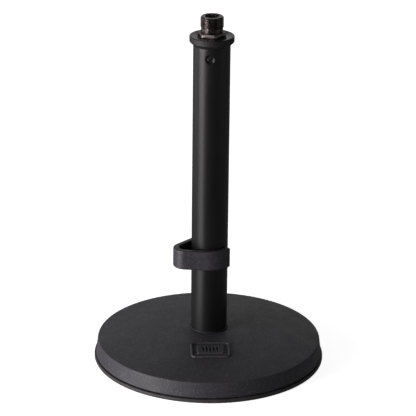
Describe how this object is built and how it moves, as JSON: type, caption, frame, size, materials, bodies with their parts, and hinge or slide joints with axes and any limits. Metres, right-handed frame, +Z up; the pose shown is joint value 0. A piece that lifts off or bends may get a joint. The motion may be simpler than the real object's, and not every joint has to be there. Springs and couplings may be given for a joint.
{
  "type": "desktop microphone stand",
  "caption": "Short desktop microphone stand: heavy domed round base, straight tube, threaded stud at the top and a cable clip that slides on the tube.",
  "frame": {"origin": "on the surface the stand rests on, at the middle of the base, which is the tube's axis", "axes": "+Z up along the tube, +X to the right, the badge on the base faces -Y"},
  "size_m": [0.1616, 0.1616, 0.2494],
  "materials": {
    "powder_coat": "fine textured black powder coat on cast iron",
    "satin_paint": "smooth satin black paint on steel",
    "black_oxide": "turned steel with black oxide, slightly bright on its edges",
    "zinc_steel": "zinc-plated steel fasteners",
    "edge_rubber": "matt black rubber",
    "clip_plastic": "moulded semi-matt black plastic"
  },
  "bodies": {
    "base": {"base_casting": "powder_coat", "rubber_edge_ring": "edge_rubber", "base_bolt": "zinc_steel", "flat_washer": "zinc_steel", "spring_washer": "zinc_steel"},
    "mast": {"bottom_plug": "satin_paint", "mast_tube": "satin_paint", "top_plug": "satin_paint", "stud_lock_nut": "black_oxide", "thread_stud": "black_oxide"},
    "clip": {"cable_clip": "clip_plastic"}
  },
  "joints": [
    {"name": "mast_turn", "type": "hinge", "parent": "base", "child": "mast", "pos_m": [0, 0, 0.022], "axis": [0, 0, 1], "continuous": true},
    {"name": "clip_slide", "type": "slide", "parent": "mast", "child": "clip", "axis": [0, 0, 1], "range_m": [-0.0476, 0.1443]}
  ]
}
